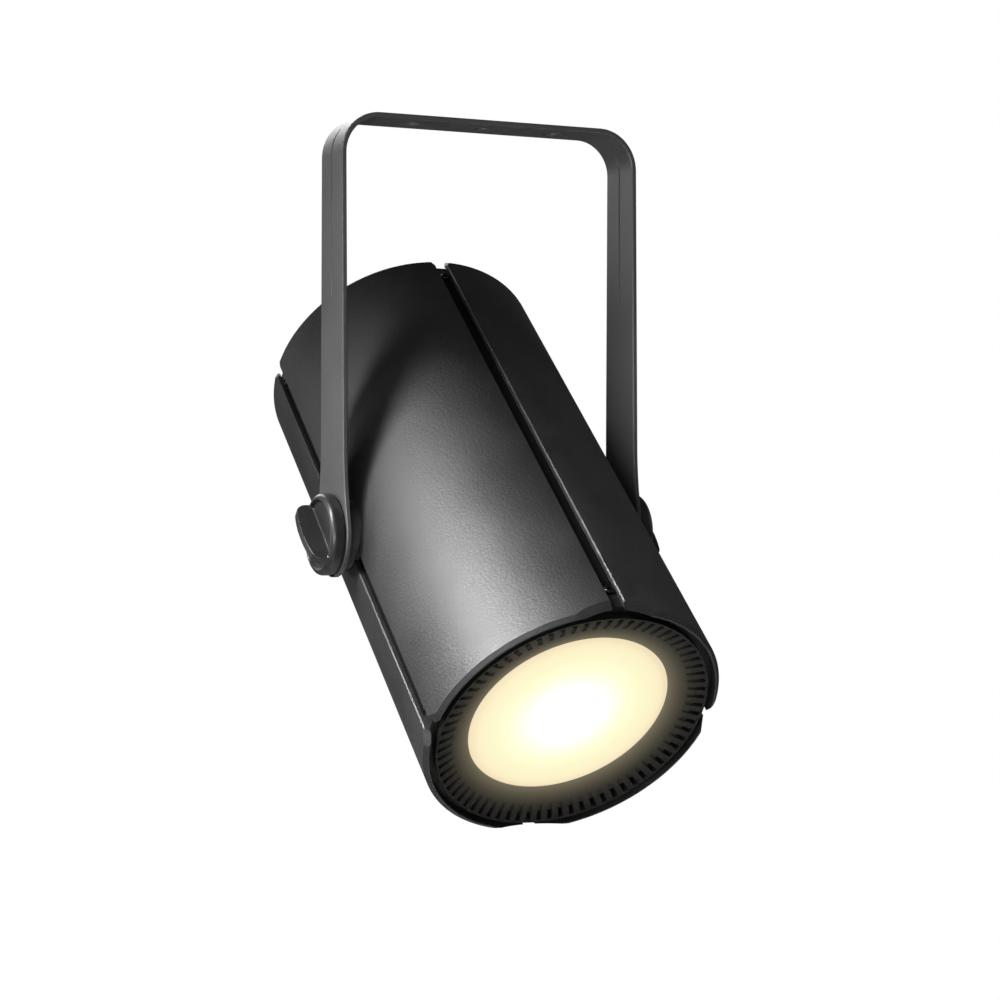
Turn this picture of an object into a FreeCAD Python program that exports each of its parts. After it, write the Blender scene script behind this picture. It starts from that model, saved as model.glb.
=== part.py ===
import FreeCAD, Part
import math
import os

# ---------------------------------------------------------------------------
# Spot luminaire on a hanging yoke. Millimetres.
# Row frame: origin at the centre hole of the yoke's top bar, on its upper face, +Z up,
# +X along the tilt axis. The lamp head is drawn along its own optical axis
# (z forward, y to its top, x along the tilt axis) and is then tilted and hung in the yoke.
# ---------------------------------------------------------------------------

# Head: four curved side panels round the optical axis
head_radius = 86.0         # axis to the panels' outer face
panel_wall = 3.0
seam_gap = 7.6             # open channel between two neighbouring panels
edge_break = 0.7           # bevel along a panel's long edges
half_length = 158.5        # tilt axis to the front and rear planes
end_bevel = 2.0            # bevel round a panel's outer edge at both ends
corner_cut_start = 150.6   # flat cuts over the ends of the channels start here on the outer face
corner_cut_reach = 80.8    # and come this near to the axis at the front and rear planes
fit_gap = 0.1
inner_radius = head_radius - panel_wall - fit_gap    # frames, bezel and rear cover

# Rails that form the floor of the channels
rail_floor = 79.5
rail_thickness = 4.0
rail_width = 26.0
rail_crest = 82.7          # raised middle of each rail, the floor of the channel
rail_crest_width = 12.0
rail_inner = rail_floor - rail_thickness

# Cross frames along the head (low and high z of each)
front_frame_z = (137.0, 143.0)
sink_base_z = (44.0, 54.0)
mid_frame_z = (-78.0, -72.0)
rear_frame_z = (-146.0, -140.0)
frame_facets = 24          # sides of the frames' openings and of the reflector
frame_opening = 56.0
rear_frame_opening = 62.0
air_window = (36.0, 5.0)   # width and height of the air windows through the front frame

# Front bezel: a dished ring with radial air slots
lens_opening = 58.3
lens_depth = 8.2           # edge of the lens opening behind the front plane
cone_rise = 0.355          # forward rise of the dish for each millimetre of radius
cone_wall = 3.0            # thickness of the dish at the lens collar
cone_edge = 79.0
bezel_rim_z = 152.5        # sunken rim between the dish and the panels
slot_count = 72
slot_angle = 2.1           # open part of each slot's pitch, in degrees
slot_groove_start = 68.5
slot_gap_start = 73.2
slot_end = 77.8
slot_groove_depth = 1.3
skirt_wall = 2.0
lens_seat_radius = 62.0
lens_collar_radius = 65.0
lens_lip = 1.2

# Lens and light engine
lens_radius = 61.6
lens_chamfer = 1.2
led_pitch = 8.5
led_size = 6.0
led_rings = 2
led_board_size = 62.0
led_board_thickness = 1.6
reflector_wall = 1.5
reflector_throat = 26.0
reflector_mouth = 55.0
fin_count = 20
fin_thickness = 2.2
fin_reach = 64.0
fin_rear_z = -38.0
sink_hub_radius = 18.0

# Fan
fan_size = 92.0
fan_z = (-72.0, -47.0)
fan_bore = 44.0
fan_hub_radius = 18.0
fan_blade_tip = 42.5
fan_blade_count = 7
fan_blade_chord = 20.0
fan_blade_pitch = 35.0
fan_shaft_radius = 2.5
shaft_running_gap = 0.05

# Rear cover and what it carries
rear_face = -158.0
rear_cover_wall = 5.0
rear_cover_bevel = 5.4
display_size = (54.0, 26.0)
display_centre_y = 42.0
display_window_thickness = 1.8
button_size = 8.0
button_gap = 0.3
button_proud = 1.4
button_row_y = 20.0
button_pitch = 16.0
connector_plate_size = (70.0, 70.0, 2.0)
connector_plate_centre_y = -25.0
connector_plate_ledge = 3.5
connector_flange = (26.0, 31.0, 2.5)
connector_columns = (-20.0, 20.0)
connector_rows = (-8.0, -42.0)
connector_barrel = 22.4
connector_length = 18.0
connector_depth = 12.0
power_socket_radius = 10.0
data_socket_radius = 8.6
vent_columns = (44.0, 51.0, 58.0, 65.0)
vent_width = 3.0
eye_hole_radius = 5.5
eye_height = 18.5
eye_plate = 3.0
rear_screw_reach = 73.0    # from the axis, on the diagonals
rear_screw_head = (7.0, 2.8)       # across flats, height
channel_screw_head = (5.5, 1.8)

# Yoke: one bent flat bar
yoke_half_span = 95.0
yoke_bar = 3.0
yoke_bend_radius = 24.0
yoke_drop = 242.0          # top face to the tilt axis
yoke_top_half_width = 16.1
yoke_arm_half_width = 18.0
yoke_paddle_radius = 24.6
yoke_flare_start = 55.0    # above the tilt axis
yoke_hang_hole = 4.25
yoke_side_hole = 5.5
yoke_side_hole_offset = 46.0
groove_half_width = 0.9
groove_depth = 0.7
groove_top = -9.0
groove_bottom = -105.0

# Tilt pivot and clamp knobs
head_tilt_down = 40.5      # optical axis below the horizontal in the drawn pose
boss_radius = 20.0
boss_key_length = 36.0
boss_shank = 15.0          # square
boss_shank_top = 82.0
boss_inner_end = 69.0
spigot_radius = 7.0
stud_radius = 5.0
stud_hole_radius = 5.3        # through the yoke's arms and the panels' edges
friction_washer = 0.95
washer_gap = 0.05
pivot_plate_thickness = 4.0
knob_radius = 23.5
knob_thickness = 8.2
knob_face = 6.0
knob_edge_bevel = 1.4
knob_washer_radius = 12.0
knob_washer_thickness = 0.5
blade_half_length = 22.4
blade_height = 12.3
blade_thickness = 5.0
blade_arch = 90.0          # radius of the wing's arched top
blade_corner = 7.0
blade_down = 43.0          # the wing's direction below the horizontal

axis_x = FreeCAD.Vector(1, 0, 0)
axis_y = FreeCAD.Vector(0, 1, 0)
axis_z = FreeCAD.Vector(0, 0, 1)
centre = FreeCAD.Vector(0, 0, 0)


# --- small helpers ----------------------------------------------------------

def point(x, y, z):
    return FreeCAD.Vector(x, y, z)


def block(x_range, y_range, z_range):
    """Box between low and high x, y and z."""
    size = [high - low for low, high in (x_range, y_range, z_range)]
    return Part.makeBox(size[0], size[1], size[2], point(x_range[0], y_range[0], z_range[0]))


def rod(radius, z_range, x=0.0, y=0.0):
    """Cylinder along z."""
    return Part.makeCylinder(radius, z_range[1] - z_range[0], point(x, y, z_range[0]))


def cross_rod(radius, x_range, y=0.0, z=0.0):
    """Cylinder along x."""
    return Part.makeCylinder(radius, x_range[1] - x_range[0], point(x_range[0], y, z), axis_x)


def ring(outer, inner, z_range):
    return rod(outer, z_range).cut(rod(inner, z_range))


def closed_wire(items):
    """Wire through edges and corner points; points are joined by straight lines."""
    edges = []
    last = None
    for item in items:
        start = item if isinstance(item, FreeCAD.Vector) else item.StartPoint
        if last is not None and last.distanceToPoint(start) > 1e-6:
            edges.append(Part.makeLine(last, start))
        if isinstance(item, FreeCAD.Vector):
            last = item
        else:
            edges.append(item.toShape())
            last = item.EndPoint
    first = items[0] if isinstance(items[0], FreeCAD.Vector) else items[0].StartPoint
    if last.distanceToPoint(first) > 1e-6:
        edges.append(Part.makeLine(last, first))
    return Part.Wire(edges)


def turned(items):
    """Solid of revolution about z from a profile drawn in the x-z plane."""
    return Part.Face(closed_wire(items)).revolve(centre, axis_z, 360)


def profile(*pairs):
    """Points of a profile in the x-z plane, given as radius and z."""
    return [point(radius, 0, z) for radius, z in pairs]


def repeated(shape, count, first_angle=0.0):
    """Copies of a shape turned round z."""
    copies = []
    for index in range(count):
        copy = shape.copy()
        copy.rotate(centre, axis_z, first_angle + index * 360.0 / count)
        copies.append(copy)
    return copies


def faceted_cone(sides, low_apothem, high_apothem, z_range):
    """Solid frustum with flat sides round the optical axis."""
    turns = [2 * math.pi * index / sides for index in range(sides)]

    def outline(apothem, z):
        corner = apothem / math.cos(math.pi / sides)
        return [point(corner * math.cos(turn), corner * math.sin(turn), z) for turn in turns]

    low = outline(low_apothem, z_range[0])
    high = outline(high_apothem, z_range[1])
    faces = [Part.Face(closed_wire(low)), Part.Face(closed_wire(high))]
    for index in range(sides):
        before = index - 1
        faces.append(Part.Face(closed_wire([low[before], low[index], high[index], high[before]])))
    return Part.makeSolid(Part.makeShell(faces))


# --- panels, rails and frames -------------------------------------------------

def long_edge_bevel():
    """Cutter for the bevel along a panel's edge beside the x axis."""
    side = seam_gap / 2
    face = math.sqrt(head_radius ** 2 - side ** 2)
    beyond = edge_break
    outline = [point(face - edge_break - beyond, side - beyond, -half_length),
               point(face + beyond, side + edge_break + beyond, -half_length),
               point(face + beyond, side - beyond, -half_length)]
    return Part.Face(closed_wire(outline)).extrude(point(0, 0, 2 * half_length))


def corner_cut():
    """Cutter for the flat cut across the front end of the channel beside the x axis."""
    run = head_radius - corner_cut_reach
    drop = half_length - corner_cut_start
    outline = profile((corner_cut_reach - run, half_length + drop), (head_radius + run, corner_cut_start - drop),
                      (head_radius + run, half_length + drop))
    cutter = Part.Face(closed_wire(outline)).extrude(point(0, head_radius, 0))
    return cutter


def side_panel(quarter):
    """Curved cover over one quarter of the head, cut back at its four corners."""
    inside = head_radius - panel_wall
    end_radius = head_radius - end_bevel
    straight_end = half_length - end_bevel
    wall = profile((inside, -half_length), (end_radius, -half_length), (head_radius, -straight_end),
                   (head_radius, straight_end), (end_radius, half_length), (inside, half_length))
    panel = Part.Face(closed_wire(wall)).revolve(centre, axis_z, 90)
    side = seam_gap / 2
    panel = panel.common(block((side, head_radius), (side, head_radius), (-half_length, half_length)))
    front_cut = corner_cut()
    cuts = [long_edge_bevel(), front_cut, front_cut.mirror(centre, axis_z)]
    other_side = point(1, -1, 0)
    cuts += [cut.mirror(centre, other_side) for cut in cuts]
    panel = panel.cut(cuts)
    panel.rotate(centre, axis_z, 90 * quarter)
    return panel.cut(cross_rod(stud_hole_radius, (-head_radius, head_radius)))


def rail_screw_places():
    return [(front_frame_z[0] + front_frame_z[1]) / 2, (rear_frame_z[0] + rear_frame_z[1]) / 2]


def channel_rail(quarter):
    """Flat bar under the gap between two panels; its raised middle is the channel's floor."""
    half_width = rail_width / 2
    half_crest = rail_crest_width / 2
    z_range = (rear_frame_z[0], front_frame_z[1])
    rail = block((rail_inner, rail_floor), (-half_width, half_width), z_range)
    rail = rail.fuse(block((rail_floor, rail_crest), (-half_crest, half_crest), z_range))
    if quarter % 2 == 0:
        rail = rail.cut(square_bar(boss_shank, (rail_inner, rail_crest)))
    rail.rotate(centre, axis_z, 90 * quarter)
    return rail.removeSplitter()


def cross_frame(z_range, opening):
    """Plate that ties the four rails together and backs the panels from inside."""
    plate = rod(inner_radius, z_range)
    plate = plate.common(block((-rail_inner, rail_inner), (-rail_inner, rail_inner), z_range))
    if opening:
        plate = plate.cut(faceted_cone(frame_facets, opening, opening, z_range))
    return plate


def air_windows(z_range, distance):
    """Four cutters on the diagonals, at a distance from the axis."""
    width, height = air_window
    window = block((distance, distance + height), (-width / 2, width / 2), (z_range[0] - 1, z_range[1] + 1))
    return repeated(window, 4, 45)


def front_frame():
    return cross_frame(front_frame_z, frame_opening).cut(air_windows(front_frame_z, 69.0))


def mid_frame():
    return cross_frame(mid_frame_z, fan_bore)


def rear_frame():
    return cross_frame(rear_frame_z, rear_frame_opening)


# --- front ------------------------------------------------------------------

def dish_z(radius, below=0.0):
    """Height of the dished face at a radius."""
    return half_length - lens_depth + cone_rise * (radius - lens_opening) - below


def air_slot(angle):
    """Cutter for one slot: a shallow groove in the dish that opens into a gap through it."""
    low = bezel_underside() - 1
    groove_floor = dish_z(slot_gap_start, slot_groove_depth)
    outline = profile((slot_gap_start, low), (slot_end, low), (slot_end, half_length + 1),
                      (slot_groove_start, half_length + 1),
                      (slot_groove_start, dish_z(slot_groove_start, slot_groove_depth)),
                      (slot_gap_start, groove_floor))
    cutter = Part.Face(closed_wire(outline)).revolve(centre, axis_z, slot_angle)
    cutter.rotate(centre, axis_z, angle - slot_angle / 2)
    return cutter


def bezel_underside():
    return dish_z(lens_collar_radius, cone_wall)


def front_bezel():
    """Dished ring round the lens: a slotted cone in a sunken rim, a skirt and a lens collar."""
    back = front_frame_z[1]
    bezel = turned(profile((lens_opening, back), (inner_radius, back), (inner_radius, bezel_rim_z),
                           (cone_edge, bezel_rim_z), (cone_edge, dish_z(cone_edge)),
                           (lens_opening, dish_z(lens_opening))))
    hollow = ring(inner_radius - skirt_wall, lens_collar_radius, (back, bezel_underside()))
    lens_seat = rod(lens_seat_radius, (back, dish_z(lens_opening, lens_lip)))
    step = 360.0 / slot_count
    slots = [air_slot(step * (index + 0.5)) for index in range(slot_count)]
    return bezel.cut([hollow, lens_seat]).cut(slots)


def front_lens():
    """Frosted lens with a chamfered edge, held between the bezel's lip and the front frame."""
    back = front_frame_z[1]
    lip = dish_z(lens_opening, lens_lip)
    crown_edge = lens_opening - 0.6
    return turned(profile((0, back), (lens_radius, back), (lens_radius, lip), (crown_edge, lip),
                          (crown_edge - 2 * lens_chamfer, lip + lens_chamfer), (0, lip + lens_chamfer)))


def reflector():
    """Faceted mirror funnel from the LED array to a flange behind the front frame."""
    z_range = (sink_base_z[1] + 2 * led_board_thickness + 1.0, front_frame_z[0])
    wall = reflector_wall
    inside = faceted_cone(frame_facets, reflector_throat, reflector_mouth, z_range)
    outside = faceted_cone(frame_facets, reflector_throat + wall, reflector_mouth + wall, z_range)
    flange = faceted_cone(frame_facets, reflector_mouth + 4.0, reflector_mouth + 4.0,
                          (z_range[1] - wall, z_range[1]))
    return outside.fuse(flange).cut(inside).removeSplitter()


def led_board():
    half = led_board_size / 2
    low = sink_base_z[1]
    return block((-half, half), (-half, half), (low, low + led_board_thickness))


def led_array():
    """Square packages on a hexagonal grid."""
    low = sink_base_z[1] + led_board_thickness
    half = led_size / 2
    packages = []
    for row in range(-led_rings, led_rings + 1):
        y = row * led_pitch * math.sqrt(0.75)
        in_row = 2 * led_rings + 1 - abs(row)
        for column in range(in_row):
            x = (column - (in_row - 1) / 2) * led_pitch
            packages.append(block((x - half, x + half), (y - half, y + half), (low, low + led_board_thickness)))
    return Part.makeCompound(packages)


def heat_sink():
    """Cast plate between the rails with radial fins behind it."""
    base = cross_frame(sink_base_z, 0).cut(air_windows(sink_base_z, 66.0))
    hub = rod(sink_hub_radius, (fin_rear_z, sink_base_z[0]))
    fin = block((sink_hub_radius - 2, fin_reach), (-fin_thickness / 2, fin_thickness / 2),
                (fin_rear_z, sink_base_z[0]))
    return base.fuse([hub] + repeated(fin, fin_count)).removeSplitter()


# --- fan --------------------------------------------------------------------

def fan_frame():
    """Square fan housing with a round duct and a bearing hub on four arms at its rear."""
    half = fan_size / 2
    rear = fan_z[0]
    housing = block((-half, half), (-half, half), fan_z)
    housing = housing.cut(faceted_cone(frame_facets, fan_bore, fan_bore, fan_z))
    hub_half = fan_hub_radius * 0.7
    hub = block((-hub_half, hub_half), (-hub_half, hub_half), (rear, rear + 5))
    arm = block((hub_half - 1, fan_bore + 1), (-2.5, 2.5), (rear, rear + 4))
    frame = housing.fuse([hub] + repeated(arm, 4, 45))
    bore = rod(fan_shaft_radius + shaft_running_gap, (rear, rear + 5))
    return frame.cut(bore).removeSplitter()


def fan_rotor():
    """Hub, shaft and seven pitched blades."""
    rear, front = fan_z
    hub = faceted_cone(2 * fan_blade_count, fan_hub_radius, fan_hub_radius, (rear + 7, front - 2))
    shaft = rod(fan_shaft_radius, (rear + 1, rear + 7))
    half_chord = fan_blade_chord / 2
    blade = block((fan_hub_radius - 3, fan_blade_tip), (-half_chord, half_chord), (-0.8, 0.8))
    blade.rotate(centre, axis_x, fan_blade_pitch)
    blade.translate(point(0, 0, (rear + front) / 2 + 2.5))
    return hub.fuse([shaft] + repeated(blade, fan_blade_count)).removeSplitter()


# --- electronics ------------------------------------------------------------

def power_supply():
    """Folded metal case on the middle frame."""
    return block((-50, 50), (-30, 26), (mid_frame_z[0] - 48, mid_frame_z[0]))


def panel_block(x, y, width, height, z_range):
    """Box centred on a place of the rear face."""
    return block((x - width / 2, x + width / 2), (y - height / 2, y + height / 2), z_range)


def control_board():
    inner_face = rear_face + rear_cover_wall
    return panel_block(0, 36.0, 70.0, 44.0, (inner_face + 3.0, inner_face + 4.6))


def display_module():
    inner_face = rear_face + rear_cover_wall
    return panel_block(0, display_centre_y, display_size[0], display_size[1], (inner_face, inner_face + 3.0))


# --- rear -------------------------------------------------------------------

def button_places():
    return [(button_pitch * (index - 1.5), button_row_y) for index in range(4)]


def connector_places():
    return [(x, y) for y in connector_rows for x in connector_columns]


def rear_cover():
    """Moulded cover with a skirt on the rear frame, vents and openings for display, keys and connectors."""
    skirt_end = rear_frame_z[0]
    inner_face = rear_face + rear_cover_wall
    cover = turned(profile((0, rear_face), (inner_radius - rear_cover_bevel, rear_face),
                           (inner_radius, rear_face + rear_cover_bevel), (inner_radius, skirt_end),
                           (0, skirt_end)))
    cover = cover.cut(rod(inner_radius - skirt_wall, (inner_face, skirt_end)))
    cuts = []
    for column in vent_columns:
        half_height = 0.62 * math.sqrt(68.0 ** 2 - column ** 2)
        for side in (-1, 1):
            x = side * column
            cuts.append(block((x - vent_width / 2, x + vent_width / 2), (-half_height, half_height),
                              (rear_face, inner_face)))
    cuts.append(panel_block(0, display_centre_y, display_size[0], display_size[1],
                            (rear_face, rear_face + display_window_thickness)))
    cuts.append(panel_block(0, display_centre_y, display_size[0] - 8, display_size[1] - 8,
                            (rear_face, inner_face)))
    key_hole = button_size + 2 * button_gap
    cuts += [panel_block(x, y, key_hole, key_hole, (rear_face, inner_face)) for x, y in button_places()]
    width, height, thickness = connector_plate_size
    gap = 2 * fit_gap
    ledge = 2 * connector_plate_ledge
    cuts.append(panel_block(0, connector_plate_centre_y, width + gap, height + gap,
                            (rear_face, rear_face + thickness)))
    cuts.append(panel_block(0, connector_plate_centre_y, width - ledge, height - ledge,
                            (rear_face, inner_face)))
    return cover.cut(cuts)


def connector_plate():
    """Sheet metal plate let into the rear cover, with a square hole for each connector."""
    width, height, thickness = connector_plate_size
    z_range = (rear_face, rear_face + thickness)
    hole = connector_barrel + 4 * fit_gap
    holes = [panel_block(x, y, hole, hole, z_range) for x, y in connector_places()]
    return panel_block(0, connector_plate_centre_y, width, height, z_range).cut(holes)


def display_window():
    return panel_block(0, display_centre_y, display_size[0] - 0.2, display_size[1] - 0.2,
                       (rear_face, rear_face + display_window_thickness))


def menu_button(x, y):
    """Square key held from behind by its flange, with a stem to its switch."""
    flange_face = rear_face + rear_cover_wall + shaft_running_gap
    cap = panel_block(x, y, button_size, button_size, (rear_face - button_proud, flange_face))
    flange = panel_block(x, y, button_size + 2.4, button_size + 2.4, (flange_face, flange_face + 1.0))
    stem = panel_block(x, y, 3.0, 3.0, (flange_face + 1.0, flange_face + 2.0))
    return cap.fuse([flange, stem]).removeSplitter()


def panel_connector(x, y, socket_radius):
    """Chassis socket: a flange with cut corners, a square body behind and a deep round socket."""
    width, height, thickness = connector_flange
    mouth = rear_face - thickness
    flange = panel_block(x, y, width, height, (mouth, rear_face))
    corners = [edge for edge in flange.Edges if edge.BoundBox.ZLength > thickness / 2]
    flange = flange.makeChamfer(2.5, corners)
    body = panel_block(x, y, connector_barrel, connector_barrel, (rear_face, rear_face + connector_length))
    socket = rod(socket_radius, (mouth, mouth + connector_depth), x, y)
    return flange.fuse(body).cut(socket).removeSplitter()


def hex_head(across, height):
    """Hexagonal screw head that stands on z = 0."""
    return faceted_cone(6, across / 2, across / 2, (0, height))


def rear_screws():
    """Screw heads that hold the rear cover to the rear frame."""
    head = hex_head(*rear_screw_head)
    head.rotate(centre, axis_x, 180)
    head.translate(point(rear_screw_reach, 0, rear_face))
    return Part.makeCompound(repeated(head, 4, 45))


def channel_screws():
    """Screw heads in the channels, over the front and rear frames."""
    heads = []
    for z in rail_screw_places():
        head = hex_head(*channel_screw_head)
        head.rotate(centre, axis_y, 90)
        head.translate(point(rail_crest, 0, z))
        heads += repeated(head, 4)
    return Part.makeCompound(heads)


def safety_eye():
    """Bent steel lug on the rear cover for a safety cable."""
    low, high = 55.0, 73.0
    middle = (low + high) / 2
    foot = block((-eye_plate, 13.0), (low, high), (rear_face - eye_plate, rear_face))
    lug = block((-eye_plate, 0.0), (low, high), (rear_face - eye_height + 9.0, rear_face))
    end_z = rear_face - eye_height + 9.0
    lug = lug.fuse(cross_rod(9.0, (-eye_plate, 0.0), middle, end_z))
    eye = foot.fuse(lug).cut(cross_rod(eye_hole_radius, (-eye_plate - 1, 1.0), middle, end_z + 1.0))
    return eye.removeSplitter()


# --- tilt pivot, drawn on the +X side of the head -----------------------------

def mirrored(shape):
    """The same piece on the -X side."""
    return shape.mirror(centre, axis_x)


def arm_inner():
    return yoke_half_span - yoke_bar


def square_bar(side, x_range):
    """Square bar along x."""
    return block(x_range, (-side / 2, side / 2), (-side / 2, side / 2))


def pivot_boss():
    """Turned boss with a saddle back on the panels, keyed into the channel, and a spigot for the arm."""
    face = arm_inner() - friction_washer - washer_gap
    key_half = boss_key_length / 2
    key_side = seam_gap / 2 - fit_gap
    saddle = rod(head_radius + fit_gap, (-boss_radius - 1, boss_radius + 1))
    boss = cross_rod(boss_radius, (rail_crest, face)).cut(saddle).fuse([
        block((rail_crest + fit_gap, head_radius + 1), (-key_side, key_side), (-key_half, key_half)),
        square_bar(2 * key_side, (boss_shank_top, head_radius)),
        square_bar(boss_shank - 2 * fit_gap, (boss_inner_end, boss_shank_top)),
        cross_rod(spigot_radius, (face, yoke_half_span - 0.4))])
    bore = cross_rod(stud_radius + shaft_running_gap, (boss_inner_end, yoke_half_span))
    return boss.cut(bore).removeSplitter()


def pivot_plate():
    """Steel plate behind the rail that takes the boss's shank."""
    half_width = rail_width / 2
    plate = block((rail_inner - pivot_plate_thickness, rail_inner), (-half_width, half_width), (-30, 30))
    return plate.cut(square_bar(boss_shank, (boss_inner_end, rail_inner)))


def along_x(shape):
    """Turn a piece drawn along z to point along x."""
    copy = shape.copy()
    copy.rotate(centre, axis_y, 90)
    return copy


def friction_disc():
    """Friction pad between the boss and the arm, with flat sides."""
    start = arm_inner() - friction_washer - washer_gap
    z_range = (start, start + friction_washer)
    pad = faceted_cone(frame_facets, boss_radius - 2, boss_radius - 2, z_range)
    hole = faceted_cone(frame_facets, spigot_radius + 0.1, spigot_radius + 0.1, z_range)
    return along_x(pad.cut(hole))


def knob_washer():
    """Octagonal washer that slides with the knob but doesn't turn with it."""
    start = yoke_half_span + washer_gap
    z_range = (start, start + knob_washer_thickness)
    plate = faceted_cone(8, knob_washer_radius, knob_washer_radius, z_range)
    return along_x(plate.cut(rod(stud_hole_radius, z_range)))


def knob_back():
    """Where the knob's back face stands along x."""
    return yoke_half_span + knob_washer_thickness + 2 * washer_gap


def stand_on_arm(shape):
    """Turn a piece drawn along z to point out along +X, its own x axis along the wing."""
    down = math.radians(blade_down)
    wing = point(0, -math.cos(down), -math.sin(down))
    across = axis_x.cross(wing)
    matrix = FreeCAD.Matrix(wing.x, across.x, 1, knob_back(),
                            wing.y, across.y, 0, 0,
                            wing.z, across.z, 0, 0,
                            0, 0, 0, 1)
    copy = shape.copy()
    copy.transformShape(matrix)
    return copy


def knob_wing():
    """Flat wing across the knob: an arched top that runs into rounded shoulders."""
    arch_centre = blade_height - blade_arch
    shoulder_x = blade_half_length - blade_corner
    shoulder_z = arch_centre + math.sqrt((blade_arch - blade_corner) ** 2 - shoulder_x ** 2)
    lean = math.atan2(shoulder_x, shoulder_z - arch_centre)
    half_way = (lean + math.pi / 2) / 2

    def shoulder_point(angle):
        return shoulder_x + blade_corner * math.sin(angle), shoulder_z + blade_corner * math.cos(angle)

    meet_x, meet_z = shoulder_point(lean)
    bend_x, bend_z = shoulder_point(half_way)
    right = Part.Arc(point(blade_half_length, 0, shoulder_z), point(bend_x, 0, bend_z), point(meet_x, 0, meet_z))
    arch = Part.Arc(point(meet_x, 0, meet_z), point(0, 0, blade_height), point(-meet_x, 0, meet_z))
    left = Part.Arc(point(-meet_x, 0, meet_z), point(-bend_x, 0, bend_z),
                    point(-blade_half_length, 0, shoulder_z))
    outline = closed_wire([point(-blade_half_length, 0, -1.0), point(blade_half_length, 0, -1.0),
                           right, arch, left])
    wing = Part.Face(outline).extrude(point(0, blade_thickness, 0))
    wing.translate(point(0, -blade_thickness / 2, knob_face))
    return wing


def clamp_knob():
    """Round knob with a raised lip and a wing across its hollow face."""
    lip_outside = knob_radius - knob_edge_bevel
    lip_inside = knob_radius - 3.0
    base = turned(profile((0, 0), (knob_radius, 0), (knob_radius, knob_thickness - knob_edge_bevel),
                          (lip_outside, knob_thickness), (lip_inside, knob_thickness),
                          (lip_inside - knob_edge_bevel, knob_face), (0, knob_face)))
    return stand_on_arm(base.fuse(knob_wing()).removeSplitter())


def knob_stud():
    """Threaded stud that stands on the knob's back face."""
    return cross_rod(stud_radius, (boss_inner_end + 3.0, knob_back()))


# --- yoke -------------------------------------------------------------------

def u_outline(inset, bottom):
    """Points and arcs of the bar's bent line, set in from its outer face by an amount."""
    span = yoke_half_span - inset
    corner = yoke_half_span - yoke_bend_radius
    radius = yoke_bend_radius - inset
    half = radius * math.sqrt(0.5)
    right = Part.Arc(point(corner, 0, -inset), point(corner + half, 0, half - yoke_bend_radius),
                     point(span, 0, -yoke_bend_radius))
    left = Part.Arc(point(-span, 0, -yoke_bend_radius), point(-corner - half, 0, half - yoke_bend_radius),
                    point(-corner, 0, -inset))
    return closed_wire([point(-span, 0, bottom), left, right, point(span, 0, bottom)])


def u_layer(outer_inset, inner_inset, half_width):
    """The bent bar, or one layer of its thickness, over a width along y."""
    bottom = -yoke_drop - 2 * yoke_paddle_radius
    layer = Part.Face(u_outline(outer_inset, bottom)).cut(Part.Face(u_outline(inner_inset, bottom - 1)))
    layer.translate(point(0, -half_width, 0))
    return layer.extrude(point(0, 2 * half_width, 0))


def arm_outline():
    """Side outline: straight taper from the top, a gentle flare and a round paddle at the pivot."""
    rise = yoke_flare_start
    flare = (rise ** 2 - yoke_paddle_radius ** 2 + yoke_arm_half_width ** 2) / (
        2 * (yoke_paddle_radius - yoke_arm_half_width))
    flare_centre_y = yoke_arm_half_width + flare
    meet = math.atan2(rise, flare_centre_y)
    half_meet = meet / 2
    pivot_z = -yoke_drop

    def side(sign):
        top = point(0, sign * yoke_top_half_width, 0)
        start = point(0, sign * yoke_arm_half_width, pivot_z + rise)
        middle = point(0, sign * (flare_centre_y - flare * math.cos(half_meet)),
                       pivot_z + rise - flare * math.sin(half_meet))
        end = point(0, sign * yoke_paddle_radius * math.cos(meet),
                    pivot_z + yoke_paddle_radius * math.sin(meet))
        return top, start, middle, end

    top_a, start_a, middle_a, end_a = side(-1)
    top_b, start_b, middle_b, end_b = side(1)
    paddle = Part.Arc(end_a, point(0, 0, pivot_z - yoke_paddle_radius), end_b)
    return closed_wire([top_a, Part.Arc(start_a, middle_a, end_a), paddle,
                        Part.Arc(end_b, middle_b, start_b), top_b])


def arm_groove():
    """Cutters for the fine groove down the middle of both faces of each arm."""
    width = groove_half_width
    limits = block((-yoke_half_span, yoke_half_span), (-width, width), (groove_bottom, groove_top))
    outer = u_layer(0, groove_depth, width).common(limits)
    inner = u_layer(yoke_bar - groove_depth, yoke_bar, width).common(limits)
    return [outer, inner]


def yoke():
    """Flat bar bent into a U, with three fixing holes and a pivot hole in each arm."""
    bar = u_layer(0, yoke_bar, 2 * yoke_paddle_radius)
    side = Part.Face(arm_outline()).extrude(point(2 * yoke_half_span, 0, 0))
    side.translate(point(-yoke_half_span, 0, 0))
    bar = bar.common(side)
    holes = [rod(yoke_hang_hole, (-yoke_bar, 0))]
    for offset in (-yoke_side_hole_offset, yoke_side_hole_offset):
        holes.append(rod(yoke_side_hole, (-yoke_bar, 0), x=offset))
    holes.append(cross_rod(spigot_radius + shaft_running_gap, (-yoke_half_span, yoke_half_span), z=-yoke_drop))
    return bar.cut(holes + arm_groove())


# --- assembly ---------------------------------------------------------------

def hang_head(shape):
    """Tilt a piece drawn along the optical axis and hang it at the tilt axis."""
    copy = shape.copy()
    copy.rotate(centre, axis_x, 90 + head_tilt_down)
    copy.translate(point(0, 0, -yoke_drop))
    return copy


def hang_knob(shape):
    """Move a piece on the tilt axis down to the pivot without tilting it."""
    copy = shape.copy()
    copy.translate(point(0, 0, -yoke_drop))
    return copy


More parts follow.
